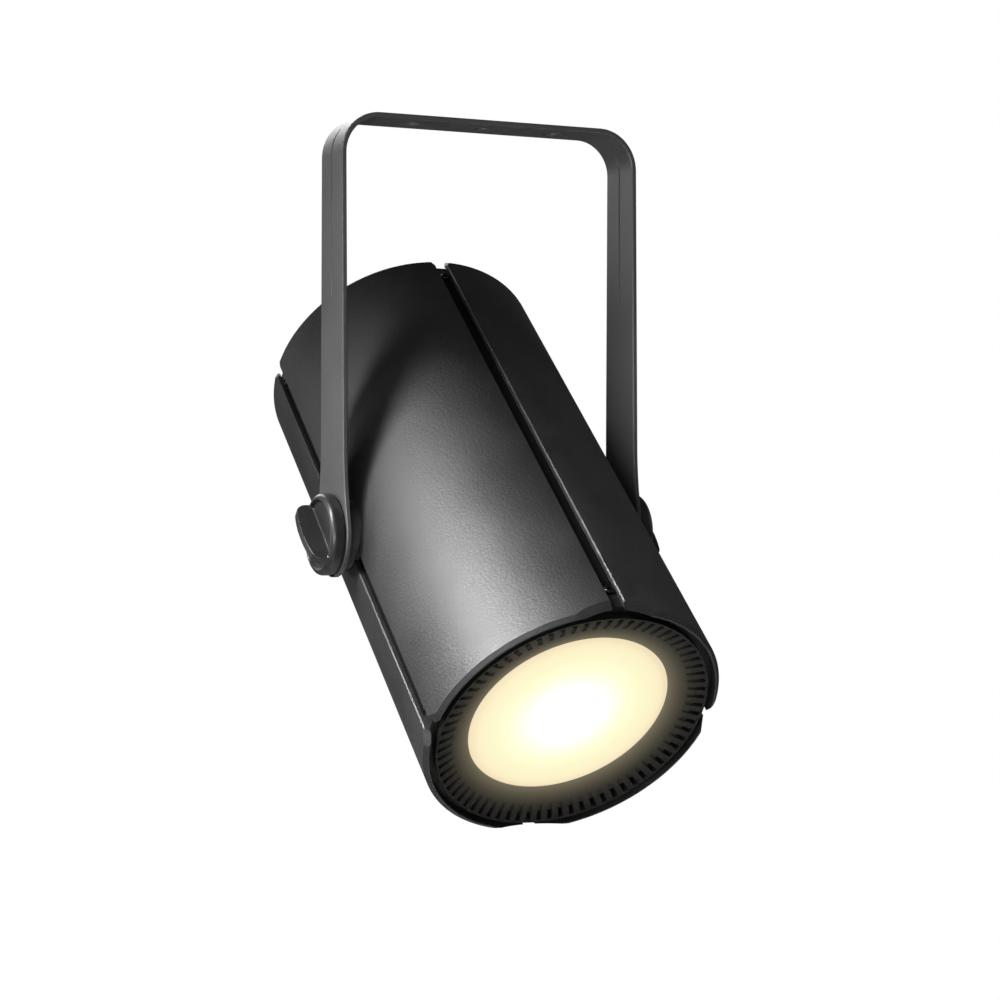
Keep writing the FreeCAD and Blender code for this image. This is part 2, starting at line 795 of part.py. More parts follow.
def head_parts():
    parts = {}
    for quarter, name in enumerate(("upper_right", "upper_left", "lower_left", "lower_right")):
        parts["panel_" + name] = side_panel(quarter)
    for quarter, name in enumerate(("right", "top", "left", "bottom")):
        parts["rail_" + name] = channel_rail(quarter)
    parts["front_frame"] = front_frame()
    parts["mid_frame"] = mid_frame()
    parts["rear_frame"] = rear_frame()
    parts["front_bezel"] = front_bezel()
    parts["front_lens"] = front_lens()
    parts["reflector"] = reflector()
    parts["led_board"] = led_board()
    parts["led_array"] = led_array()
    parts["heat_sink"] = heat_sink()
    parts["fan_frame"] = fan_frame()
    parts["fan_rotor"] = fan_rotor()
    parts["power_supply"] = power_supply()
    parts["control_board"] = control_board()
    parts["display_module"] = display_module()
    parts["display_window"] = display_window()
    parts["rear_cover"] = rear_cover()
    parts["connector_plate"] = connector_plate()
    for index, (x, y) in enumerate(button_places()):
        parts["menu_button_%d" % (index + 1)] = menu_button(x, y)
    sockets = (("power_inlet", power_socket_radius), ("power_outlet", power_socket_radius),
               ("data_inlet", data_socket_radius), ("data_outlet", data_socket_radius))
    for (name, radius), (x, y) in zip(sockets, connector_places()):
        parts[name] = panel_connector(x, y, radius)
    parts["rear_screws"] = rear_screws()
    parts["channel_screws"] = channel_screws()
    parts["safety_eye"] = safety_eye()
    for name, shape in (("pivot_boss", pivot_boss()), ("pivot_plate", pivot_plate())):
        parts["right_" + name] = shape
        parts["left_" + name] = mirrored(shape)
    parts["friction_washers"] = Part.makeCompound([friction_disc(), mirrored(friction_disc())])
    return {name: hang_head(shape) for name, shape in parts.items()}


def clamp_parts():
    parts = {}
    for name, shape in (("clamp_knob", clamp_knob()), ("knob_stud", knob_stud()), ("knob_washer", knob_washer())):
        parts["right_" + name] = hang_knob(shape)
        parts["left_" + name] = hang_knob(mirrored(shape))
    return parts


def main():
    os.makedirs("parts", exist_ok=True)
    parts = {"yoke": yoke()}
    parts.update(head_parts())
    parts.update(clamp_parts())
    for name, shape in parts.items():
        shape.exportStep("parts/%s.step" % name)
        box = shape.BoundBox
        print("%-20s solids %2d valid %s volume %10.1f  x %7.1f %7.1f  y %7.1f %7.1f  z %7.1f %7.1f" % (
            name, len(shape.Solids), shape.isValid(), shape.Volume,
            box.XMin, box.XMax, box.YMin, box.YMax, box.ZMin, box.ZMax))


main()
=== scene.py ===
import bpy
import bmesh
import math
from mathutils import Matrix, Vector


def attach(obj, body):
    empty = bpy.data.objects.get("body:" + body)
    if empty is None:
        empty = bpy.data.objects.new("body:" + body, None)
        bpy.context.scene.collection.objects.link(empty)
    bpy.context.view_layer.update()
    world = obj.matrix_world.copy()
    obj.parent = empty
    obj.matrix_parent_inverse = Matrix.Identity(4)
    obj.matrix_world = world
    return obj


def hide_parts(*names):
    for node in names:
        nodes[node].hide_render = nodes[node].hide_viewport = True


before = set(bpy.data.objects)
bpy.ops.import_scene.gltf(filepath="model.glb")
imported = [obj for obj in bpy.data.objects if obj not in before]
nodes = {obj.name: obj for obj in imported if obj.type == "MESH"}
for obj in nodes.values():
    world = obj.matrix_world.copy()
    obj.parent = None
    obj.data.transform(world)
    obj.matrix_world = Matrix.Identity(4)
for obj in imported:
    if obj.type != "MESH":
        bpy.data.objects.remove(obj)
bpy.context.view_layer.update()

print("frame loaded:", len(nodes), "nodes")

# the head's own axes: x along the tilt axis, z forward along the beam, both in the frame's metres
tiltAxis = Vector((0, 0, -0.242))
headTilt = math.radians(40.5)
beam = Vector((0, -math.cos(headTilt), -math.sin(headTilt)))
headUp = Vector((0, -math.sin(headTilt), math.cos(headTilt)))
headPlace = Matrix((
    (1, headUp.x, beam.x, tiltAxis.x),
    (0, headUp.y, beam.y, tiltAxis.y),
    (0, headUp.z, beam.z, tiltAxis.z),
    (0, 0, 0, 1)))
inMillimetres = Matrix.Scale(0.001, 4)


def linear(code):
    parts = [int(code[i:i + 2], 16) / 255 for i in (1, 3, 5)]
    return tuple(c / 12.92 if c < 0.04045 else ((c + 0.055) / 1.055) ** 2.4 for c in parts) + (1.0,)


def addNode(tree, kind, inputs=None, **settings):
    node = tree.nodes.new(kind)
    for key, value in settings.items():
        setattr(node, key, value)
    for key, value in (inputs or {}).items():
        if isinstance(value, bpy.types.NodeSocket):
            tree.links.new(value, node.inputs[key])
        else:
            node.inputs[key].default_value = value
    return node


def newMaterial(name):
    mat = bpy.data.materials.new(name)
    mat.use_nodes = True
    tree = mat.node_tree
    return mat, tree, tree.nodes["Principled BSDF"], addNode(tree, "ShaderNodeTexCoord").outputs["Object"]


def noise(tree, coords, sizeMm, detail=3.0, rough=0.5):
    inputs = {"Vector": coords, "Scale": 1000 / sizeMm, "Detail": detail, "Roughness": rough}
    return addNode(tree, "ShaderNodeTexNoise", inputs).outputs["Fac"]


def spread(tree, value, low, high, fromLow=0.25, fromHigh=0.75):
    inputs = {"Value": value, "From Min": fromLow, "From Max": fromHigh, "To Min": low, "To Max": high}
    return addNode(tree, "ShaderNodeMapRange", inputs).outputs["Result"]


def ramp(tree, fac, stops):
    node = addNode(tree, "ShaderNodeValToRGB", {"Fac": fac})
    band = node.color_ramp
    while len(band.elements) < len(stops):
        band.elements.new(0.5)
    for element, (place, code) in zip(band.elements, stops):
        element.position = place
        element.color = linear(code)
    return node.outputs["Color"]


def beamRadius(tree, coords):
    # distance from the beam's axis, in metres
    offset = addNode(tree, "ShaderNodeVectorMath", {0: coords, 1: tiltAxis}, operation="SUBTRACT")
    across = addNode(tree, "ShaderNodeVectorMath", {0: offset.outputs["Vector"], 1: beam},
                     operation="CROSS_PRODUCT")
    length = addNode(tree, "ShaderNodeVectorMath", {0: across.outputs["Vector"]}, operation="LENGTH")
    return length.outputs["Value"]


# every finish has a slow cloud in its tone, a fine grain in its relief and a wander in its gloss
finishes = {
    # satin black anodised aluminium, bead blasted: metal under a black skin, so broad silvery highlights;
    # the blast grain is some 0.1 mm and is drawn at 1.5 mm so that it shows
    "anodisedPanel": {"dark": "#484848", "light": "#525252", "rough": 0.56, "wander": 0.06, "grainMm": 1.5,
                      "grainDetail": 4.0, "cloudMm": 55, "relief": 0.8, "metal": 1.0},
    # the same skin on the extruded rails, its tone darkened below the panels' as painted shade for the channels
    # they lie in
    "anodisedRailPaintedShade": {"dark": "#1c1c1c", "light": "#222222", "rough": 0.55, "wander": 0.05, "grainMm": 1.3,
                     "grainDetail": 3.0, "cloudMm": 40, "relief": 0.2, "metal": 1.0},
    # satin powder coat on flat steel bar: fine orange peel of 0.8 mm, soft grey sheen
    "powderCoatedSteel": {"dark": "#414141", "light": "#484848", "rough": 0.46, "wander": 0.06, "grainMm": 0.8,
                          "grainDetail": 3.0, "cloudMm": 45, "relief": 0.3, "gloss": 0.6},
    # powder coat on the connector plate and the safety eye
    "powderCoatedPlate": {"dark": "#2c2c2c", "light": "#343434", "rough": 0.5, "wander": 0.06, "grainMm": 0.7,
                          "grainDetail": 3.0, "cloudMm": 25, "relief": 0.3, "gloss": 0.5},
    # moulded ABS with a spark-eroded texture: even matt black
    "mouldedAbs": {"dark": "#262626", "light": "#2c2c2c", "rough": 0.56, "wander": 0.06, "grainMm": 0.6,
                   "grainDetail": 2.0, "cloudMm": 30, "relief": 0.35, "gloss": 0.45},
    # glass-filled nylon of the clamp knobs: dark grey with a waxy sheen
    "glassFilledNylon": {"dark": "#1a1a1a", "light": "#212121", "rough": 0.38, "wander": 0.07, "grainMm": 0.5,
                         "grainDetail": 3.0, "cloudMm": 12, "relief": 0.15, "gloss": 0.6},
    # silicone rubber of the menu keys: soft, matt
    "siliconeRubber": {"dark": "#3c3c3c", "light": "#424242", "rough": 0.7, "wander": 0.06, "grainMm": 0.4,
                       "grainDetail": 2.0, "cloudMm": 6, "relief": 0.2, "gloss": 0.35},
    # nylon of the sockets: smooth with a blue cast in the black
    "socketNylon": {"dark": "#17171c", "light": "#1e1e25", "rough": 0.38, "wander": 0.08, "grainMm": 0.5,
                    "grainDetail": 2.0, "cloudMm": 9, "relief": 0.1, "gloss": 0.5},
    # acrylic window over a dark display: near mirror
    "smokedAcrylic": {"dark": "#060a0b", "light": "#090e10", "rough": 0.08, "wander": 0.03, "grainMm": 2.0,
                      "grainDetail": 1.0, "cloudMm": 18, "relief": 0.01, "gloss": 0.5},
    # oxide-blacked steel screws: dark metal, worn lighter in clouds
    "blackedSteel": {"dark": "#2c2c2c", "light": "#484848", "rough": 0.36, "wander": 0.08, "grainMm": 0.4,
                     "grainDetail": 3.0, "cloudMm": 3, "relief": 0.12, "metal": 1.0},
    # bright zinc plate on steel: pale, slightly cloudy
    "zincPlatedSteel": {"dark": "#8e8f92", "light": "#a9abae", "rough": 0.34, "wander": 0.08, "grainMm": 0.6,
                        "grainDetail": 3.0, "cloudMm": 7, "relief": 0.1, "metal": 1.0},
    # nickel on the contacts: warm and bright
    "nickelPlate": {"dark": "#b6b0a4", "light": "#cfc9bc", "rough": 0.2, "wander": 0.05, "grainMm": 0.3,
                    "grainDetail": 2.0, "cloudMm": 3, "relief": 0.05, "metal": 1.0},
    # as-cast and machined aluminium inside the head
    "castAluminium": {"dark": "#909193", "light": "#a6a7a9", "rough": 0.48, "wander": 0.07, "grainMm": 0.9,
                      "grainDetail": 4.0, "cloudMm": 20, "relief": 0.25, "metal": 1.0},
    # green solder mask over copper
    "solderMask": {"dark": "#0d3a1b", "light": "#134a26", "rough": 0.35, "wander": 0.06, "grainMm": 0.8,
                   "grainDetail": 3.0, "cloudMm": 9, "relief": 0.1, "gloss": 0.5},
    # pressed fibre of the friction pads: dry brown felt
    "pressedFibre": {"dark": "#463c2f", "light": "#5a4e3f", "rough": 0.86, "wander": 0.05, "grainMm": 0.7,
                     "grainDetail": 5.0, "cloudMm": 5, "relief": 0.5, "gloss": 0.2},
}


def finish(name, look):
    mat, tree, shader, coords = newMaterial(name)
    grain = noise(tree, coords, look["grainMm"], look["grainDetail"], 0.6)
    cloud = noise(tree, coords, look["cloudMm"], 4.0, 0.6)
    mixed = addNode(tree, "ShaderNodeMath", {0: cloud, 1: spread(tree, grain, -0.18, 0.18)}, operation="ADD")
    tone = ramp(tree, mixed.outputs["Value"], [(0.3, look["dark"]), (0.7, look["light"])])
    slow = spread(tree, cloud, look["rough"] - look["wander"], look["rough"] + look["wander"])
    fine = spread(tree, grain, -look["wander"], look["wander"])
    gloss = addNode(tree, "ShaderNodeMath", {0: slow, 1: fine}, operation="ADD").outputs["Value"]
    bump = addNode(tree, "ShaderNodeBump", {"Height": grain, "Strength": look["relief"],
                                            "Distance": look["grainMm"] / 4000})
    tree.links.new(tone, shader.inputs["Base Color"])
    tree.links.new(gloss, shader.inputs["Roughness"])
    tree.links.new(bump.outputs["Normal"], shader.inputs["Normal"])
    shader.inputs["Metallic"].default_value = look.get("metal", 0.0)
    shader.inputs["Specular IOR Level"].default_value = look.get("gloss", 0.5)
    return mat


def paint(mat, *names):
    for name in names:
        mesh = nodes[name].data
        mesh.materials.clear()
        mesh.materials.append(mat)


coats = {name: finish(name, look) for name, look in finishes.items()}

paint(coats["anodisedPanel"], "panel_upper_left", "panel_upper_right", "panel_lower_left", "panel_lower_right")
# rails take the panels' skin in a darker tone: painted shade of the channels
paint(coats["anodisedRailPaintedShade"], "rail_top", "rail_left", "rail_right", "rail_bottom")
paint(coats["powderCoatedSteel"], "yoke")
paint(coats["powderCoatedPlate"], "connector_plate", "safety_eye", "left_pivot_boss", "right_pivot_boss")
paint(coats["mouldedAbs"], "rear_cover", "display_module", "fan_frame", "fan_rotor")
paint(coats["glassFilledNylon"], "left_clamp_knob", "right_clamp_knob")
paint(coats["siliconeRubber"], *["menu_button_%d" % number for number in range(1, 5)])
paint(coats["socketNylon"], "power_inlet", "power_outlet", "data_inlet", "data_outlet")
paint(coats["smokedAcrylic"], "display_window")
paint(coats["blackedSteel"], "rear_screws", "channel_screws")
paint(coats["zincPlatedSteel"], "left_knob_stud", "right_knob_stud", "left_knob_washer", "right_knob_washer",
      "left_pivot_plate", "right_pivot_plate")
paint(coats["castAluminium"], "front_frame", "mid_frame", "rear_frame", "heat_sink", "reflector", "led_board",
      "power_supply")
paint(coats["solderMask"], "control_board")
paint(coats["pressedFibre"], "friction_washers")
print("finishes done:", len(coats))


# frosted acrylic lens: white over the array, cream towards its edge, with a fine tooth on the face
lens = {"radius": 0.0583, "glow": [(0.15, "#ffffff"), (0.58, "#ffffd2"), (0.88, "#fdf2c6"), (1.0, "#f3dfba")],
        "centreLevel": 1.35, "edgeLevel": 0.92, "dimFrom": 0.1, "dimTo": 0.7, "toothMm": 0.9, "relief": 0.2,
        "depth": 0.0003, "acrylic": "#4a463c", "rough": 0.5}
mat, tree, shader, coords = newMaterial("frostedAcrylic")
share = addNode(tree, "ShaderNodeMath", {0: beamRadius(tree, coords), 1: lens["radius"]}, operation="DIVIDE")
share = share.outputs["Value"]
glow = ramp(tree, share, lens["glow"])
level = spread(tree, share, lens["centreLevel"], lens["edgeLevel"], lens["dimFrom"], lens["dimTo"])
bump = addNode(tree, "ShaderNodeBump", {"Height": noise(tree, coords, lens["toothMm"]),
                                        "Strength": lens["relief"], "Distance": lens["depth"]})
tree.links.new(glow, shader.inputs["Emission Color"])
tree.links.new(level, shader.inputs["Emission Strength"])
tree.links.new(bump.outputs["Normal"], shader.inputs["Normal"])
shader.inputs["Base Color"].default_value = linear(lens["acrylic"])
shader.inputs["Roughness"].default_value = lens["rough"]
paint(mat, "front_lens")

# moulded PBT bezel: matt black, with painted light next to the lens: a warm emission ramp by distance from the
# beam stands in for the light that leaks from the lens edge onto the dish
dish = {"dark": "#0b0b0a", "light": "#0e0e0d", "rough": 0.55, "grainMm": 0.7, "cloudMm": 25.0,
        "relief": 0.25, "depth": 0.0002, "gloss": 0.25, "level": 1.0,
        "paintedGlow": [(0.0583, "#6a6350"), (0.061, "#585240"), (0.0645, "#423d2f"), (0.068, "#2b271d"),
                  (0.072, "#15130e"), (0.077, "#000000")]}
mat, tree, shader, coords = newMaterial("mouldedPbt")
grain = noise(tree, coords, dish["grainMm"])
bump = addNode(tree, "ShaderNodeBump", {"Height": grain, "Strength": dish["relief"], "Distance": dish["depth"]})
outmost = dish["paintedGlow"][-1][0]
reach = addNode(tree, "ShaderNodeMath", {0: beamRadius(tree, coords), 1: outmost}, operation="DIVIDE")
tree.links.new(ramp(tree, noise(tree, coords, dish["cloudMm"]), [(0.3, dish["dark"]), (0.7, dish["light"])]),
               shader.inputs["Base Color"])
# painted glow: the bezel emits warm light near the lens, though it is no lamp
tree.links.new(ramp(tree, reach.outputs["Value"], [(place / outmost, code) for place, code in dish["paintedGlow"]]),
               shader.inputs["Emission Color"])
tree.links.new(bump.outputs["Normal"], shader.inputs["Normal"])
shader.inputs["Roughness"].default_value = dish["rough"]
shader.inputs["Emission Strength"].default_value = dish["level"]
shader.inputs["Specular IOR Level"].default_value = dish["gloss"]
paint(mat, "front_bezel")

# phosphor of the light sources
phosphor = {"dark": "#e8c860", "light": "#f2d878", "cloudMm": 3.0, "rough": 0.4}
mat, tree, shader, coords = newMaterial("ledPhosphor")
tone = ramp(tree, noise(tree, coords, phosphor["cloudMm"]), [(0.3, phosphor["dark"]), (0.7, phosphor["light"])])
tree.links.new(tone, shader.inputs["Base Color"])
shader.inputs["Roughness"].default_value = phosphor["rough"]
paint(mat, "led_array")
print("lens and bezel done")


def newPiece(name, mesh, mat, place, body, smoothDegrees=40):
    # mesh in head or knob axes goes into the frame, at the origin and unturned
    mesh.transform(place)
    if mat is not None:
        mesh.materials.clear()
        mesh.materials.append(mat)
    mesh.polygons.foreach_set("use_smooth", [True] * len(mesh.polygons))
    mesh.set_sharp_from_angle(angle=math.radians(smoothDegrees))
    mesh.update()
    piece = bpy.data.objects.new(name, mesh)
    bpy.context.scene.collection.objects.link(piece)
    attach(piece, body)
    return piece


def settled(piece):
    # the piece with its modifiers worked in, as a plain mesh
    depsgraph = bpy.context.evaluated_depsgraph_get()
    mesh = bpy.data.meshes.new_from_object(piece.evaluated_get(depsgraph))
    bpy.data.objects.remove(piece)
    return mesh


def looseObject(name, mesh):
    piece = bpy.data.objects.new(name, mesh)
    bpy.context.scene.collection.objects.link(piece)
    return piece


# clamp knobs: one moulding each, its corners run together by a fine remesh
knob = {"radius": 23.5, "thickness": 8.2, "face": 6.0, "lip": 3.4, "roundOver": 3.2, "wingHalf": 22.4,
        "wingTop": 12.3, "wingThick": 5.0, "arch": 90.0, "shoulder": 7.0, "wingDown": 43.0, "back": 95.6,
        "cellMm": 0.34, "soften": 3, "around": 120, "turnSteps": 8, "archSteps": 6, "footBreak": 0.5,
        "lipFall": 0.15, "stepHeight": 0.2, "stepAt": 0.9, "faceAt": 1.6, "sunk": 1.0}


def knobBody():
    outer = knob["radius"]
    top = knob["thickness"]
    turn = knob["roundOver"]
    lipIn = outer - knob["lip"]
    foot = knob["footBreak"]
    line = [(0.0, 0.0), (outer - foot, 0.0), (outer, foot), (outer, top - turn)]
    for step in range(1, knob["turnSteps"] + 1):
        angle = math.pi / 2 * step / knob["turnSteps"]
        line.append((outer - turn + turn * math.cos(angle), top - turn + turn * math.sin(angle)))
    face = knob["face"]
    line += [(lipIn, top - knob["lipFall"]), (lipIn - knob["stepAt"], face + knob["stepHeight"]),
             (lipIn - knob["faceAt"], face), (0.0, face)]
    count = knob["around"]
    bm = bmesh.new()
    rings = []
    for radius, height in line:
        if radius == 0:
            rings.append([bm.verts.new((0, 0, height))])
            continue
        turns = [2 * math.pi * index / count for index in range(count)]
        rings.append([bm.verts.new((radius * math.cos(a), radius * math.sin(a), height)) for a in turns])
    for low, high in zip(rings, rings[1:]):
        for index in range(count):
            after = (index + 1) % count
            if len(low) == 1:
                bm.faces.new((low[0], high[after], high[index]))
            elif len(high) == 1:
                bm.faces.new((low[index], low[after], high[0]))
            else:
                bm.faces.new((low[index], low[after], high[after], high[index]))
    return bm


def knobWing(bm):
    # arched outline with round shoulders, as wide as the wing, sunk a little into the face
    half, arch, shoulder = knob["wingHalf"], knob["arch"], knob["shoulder"]
    centreZ = knob["wingTop"] - arch
    shoulderX = half - shoulder
    shoulderZ = centreZ + math.sqrt((arch - shoulder) ** 2 - shoulderX ** 2)
    lean = math.atan2(shoulderX, shoulderZ - centreZ)
    right = [(half, -knob["sunk"])]
    for step in range(knob["turnSteps"] + 1):
        angle = math.pi / 2 + (lean - math.pi / 2) * step / knob["turnSteps"]
        right.append((shoulderX + shoulder * math.sin(angle), shoulderZ + shoulder * math.cos(angle)))
    for step in range(1, knob["archSteps"]):
        angle = lean * (1 - step / knob["archSteps"])
        right.append((arch * math.sin(angle), centreZ + arch * math.cos(angle)))
    outline = right + [(0.0, knob["wingTop"])] + [(-x, z) for x, z in reversed(right)]
    sides = []
    for y in (-knob["wingThick"] / 2, knob["wingThick"] / 2):
        sides.append([bm.verts.new((x, y, z + knob["face"])) for x, z in outline])
    bm.faces.new(sides[0])
    bm.faces.new(list(reversed(sides[1])))
    for index in range(len(outline)):
        before = index - 1
        bm.faces.new((sides[0][before], sides[1][before], sides[1][index], sides[0][index]))


def knobMesh():
    bm = knobBody()
    knobWing(bm)
    bmesh.ops.recalc_face_normals(bm, faces=bm.faces)
    mesh = bpy.data.meshes.new("knobDraft")
    bm.to_mesh(mesh)
    bm.free()
    draft = looseObject("knobDraft", mesh)
    remesh = draft.modifiers.new("remesh", "REMESH")
    remesh.mode = "VOXEL"
    remesh.voxel_size = knob["cellMm"]
    smooth = draft.modifiers.new("soften", "SMOOTH")
    smooth.factor = 0.5
    smooth.iterations = knob["soften"]
    return settled(draft)


def knobPlace(side):
    # wing axis, cross axis and outward axis of a knob, in metres
    down = math.radians(knob["wingDown"])
    wing = Vector((0, -math.cos(down), -math.sin(down)))
    out = Vector((side, 0, 0))
    cross = out.cross(wing)
    scale = 0.001
    at = tiltAxis + out * knob["back"] * scale
    return Matrix(((wing.x * scale, cross.x * scale, out.x * scale, at.x),
                   (wing.y * scale, cross.y * scale, out.y * scale, at.y),
                   (wing.z * scale, cross.z * scale, out.z * scale, at.z),
                   (0, 0, 0, 1)))


for name, side in (("left", -1), ("right", 1)):
    piece = newPiece(name + "KnobMoulding", knobMesh(), coats["glassFilledNylon"], knobPlace(side), name + "_knob",
                     180)
    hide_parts(name + "_clamp_knob")
print("knobs done")


# yoke bar: the frame's own shape with its long edges broken, as a sheared and linished bar has them
bar = {"edgeBreak": 0.0006, "flatDegrees": 0.6, "edgeDegrees": 50, "grooveReach": 0.0016,
       "grooveTop": -0.006, "grooveBreak": 0.2}


def bevelledCopy(name, look, inGroove):
    bm = bmesh.new()
    bm.from_mesh(nodes[name].data)
    bmesh.ops.remove_doubles(bm, verts=bm.verts, dist=1e-6)
    bmesh.ops.dissolve_limit(bm, angle_limit=math.radians(look["flatDegrees"]), verts=bm.verts, edges=bm.edges,
                             delimit={"NORMAL"})
    weights = bm.edges.layers.float.new("bevel_weight_edge")
    sharp = math.radians(look["edgeDegrees"])
    for edge in bm.edges:
        edge.smooth = True
        if len(edge.link_faces) == 2 and edge.calc_face_angle() > sharp:
            edge[weights] = look["grooveBreak"] if inGroove(edge) else 1.0
            edge.smooth = False
    for face in bm.faces:
        face.smooth = True
    mesh = bpy.data.meshes.new(name + "Draft")
    bm.to_mesh(mesh)
    bm.free()
    draft = looseObject(name + "Draft", mesh)
    bevel = draft.modifiers.new("edges", "BEVEL")
    bevel.limit_method = "WEIGHT"
    bevel.width = look["edgeBreak"]
    bevel.segments = 1
    bevel.use_clamp_overlap = False
    level = draft.modifiers.new("normals", "WEIGHTED_NORMAL")
    level.keep_sharp = True
    return settled(draft)


def inGroove(edge):
    return all(abs(v.co.y) < bar["grooveReach"] and v.co.z < bar["grooveTop"] for v in edge.verts)


piece = newPiece("yokeBar", bevelledCopy("yoke", bar, inGroove), coats["powderCoatedSteel"], Matrix.Identity(4),
                 "yoke", 25)
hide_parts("yoke")
print("yoke done:", len(piece.data.polygons), "faces")


# side panels: one turned wall, trimmed at the channels and turned into the four quarters
panel = {"outside": 86.0, "inside": 83.0, "halfLength": 158.5, "endBevel": 2.0, "rearBevel": 3.6, "rearLip": 0.3,
         "seamHalf": 3.8, "edgeBreak": 0.7, "cutStart": 150.6, "cutReach": 80.8, "steps": 96,
         # width of the corner cuts beside the right, top, left and bottom channel; the wide ones keep the
         # head inside the frame's box
         "frontClips": (8.0, 16.6, 8.0, 16.6), "rearClips": (4.4, 4.4, 4.4, 16.6)}


def trim(bm, at, way):
    # takes away what lies beyond the plane and closes the wall again
    everything = list(bm.verts) + list(bm.edges) + list(bm.faces)
    result = bmesh.ops.bisect_plane(bm, geom=everything, plane_co=at, plane_no=way, clear_outer=True)
    rim = [item for item in result["geom_cut"] if isinstance(item, bmesh.types.BMEdge)]
    if rim:
        bmesh.ops.holes_fill(bm, edges=rim, sides=0)


def panelMesh(quarter):
    end, wall, bevel, rear = panel["halfLength"], panel["outside"], panel["endBevel"], panel["rearBevel"]
    inside = panel["inside"]
    section = [(inside, -end), (inside + panel["rearLip"], -end), (wall, rear - end), (wall, end - bevel),
               (wall - bevel, end), (inside, end)]
    bm = bmesh.new()
    rings = []
    for step in range(panel["steps"] + 1):
        angle = math.pi / 2 * step / panel["steps"]
        rings.append([bm.verts.new((r * math.cos(angle), r * math.sin(angle), z)) for r, z in section])
    for low, high in zip(rings, rings[1:]):
        for index in range(len(section)):
            bm.faces.new((low[index - 1], low[index], high[index], high[index - 1]))
    bm.faces.new(rings[0])
    bm.faces.new(list(reversed(rings[-1])))
    seam = panel["seamHalf"]
    face = math.sqrt(wall ** 2 - seam ** 2)
    rim = wall - bevel / 2
    for first, second in ((0, 1), (1, 0)):
        def axes(a, b, z):
            values = [0.0, 0.0, z]
            values[first], values[second] = a, b
            return Vector(values)
        trim(bm, axes(0, seam, 0), axes(0, -1, 0))
        trim(bm, axes(face - panel["edgeBreak"], seam, 0), axes(1, -1, 0))
        channel = (quarter + first) % 4
        for side, degrees in ((1, panel["frontClips"][channel]), (-1, panel["rearClips"][channel])):
            # a flat across the corner, from a depth at the channel out to nothing along the rim
            turn = math.radians(degrees)
            low = axes(panel["cutReach"], seam, side * end)
            high = axes(wall, seam, side * panel["cutStart"])
            far = axes(rim * math.cos(turn), rim * math.sin(turn), side * (end - bevel / 2))
            way = (high - low).cross(far - low)
            trim(bm, low, way if way.z * side > 0 else -way)
    bmesh.ops.recalc_face_normals(bm, faces=bm.faces)
    bmesh.ops.rotate(bm, verts=bm.verts, cent=(0, 0, 0), matrix=Matrix.Rotation(math.pi / 2 * quarter, 3, "Z"))
    mesh = bpy.data.meshes.new("panel")
    bm.to_mesh(mesh)
    bm.free()
    return mesh


for quarter, name in enumerate(("upper_right", "upper_left", "lower_left", "lower_right")):
    words = name.split("_")
    piece = newPiece(words[0] + words[1].title() + "Panel", panelMesh(quarter), coats["anodisedPanel"],
                     headPlace @ inMillimetres, "head", 30)
    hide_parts("panel_" + name)
print("panels done")


# small repeated parts are grown on points by node trees; each point carries the way it faces
def newTree(name, sizes):
    tree = bpy.data.node_groups.new(name, "GeometryNodeTree")
    tree.interface.new_socket(name="Geometry", in_out="INPUT", socket_type="NodeSocketGeometry")
    for label, kind in sizes:
        tree.interface.new_socket(name=label, in_out="INPUT", socket_type="NodeSocket" + kind)
    tree.interface.new_socket(name="Material", in_out="INPUT", socket_type="NodeSocketMaterial")
    tree.interface.new_socket(name="Geometry", in_out="OUTPUT", socket_type="NodeSocketGeometry")
    return tree, addNode(tree, "NodeGroupInput").outputs


def moved(tree, geometry, height):
    shift = addNode(tree, "ShaderNodeCombineXYZ", {"Z": height}).outputs["Vector"]
    return addNode(tree, "GeometryNodeTransform", {"Geometry": geometry, "Translation": shift}).outputs["Geometry"]


def endOnPoints(tree, given, single):
    # one copy of the single part on every point, turned to face its way
    way = addNode(tree, "GeometryNodeInputNamedAttribute", {"Name": "facing"}, data_type="FLOAT_VECTOR")
    turn = addNode(tree, "FunctionNodeAlignRotationToVector", {"Vector": way.outputs["Attribute"]}, axis="Z")
    copies = addNode(tree, "GeometryNodeInstanceOnPoints", {
        "Points": given["Geometry"], "Instance": single, "Rotation": turn.outputs["Rotation"]})
    solid = addNode(tree, "GeometryNodeRealizeInstances", {"Geometry": copies.outputs["Instances"]})
    painted = addNode(tree, "GeometryNodeSetMaterial", {
        "Geometry": solid.outputs["Geometry"], "Material": given["Material"]})
    end = addNode(tree, "NodeGroupOutput")
    tree.links.new(painted.outputs["Geometry"], end.inputs["Geometry"])
    return tree


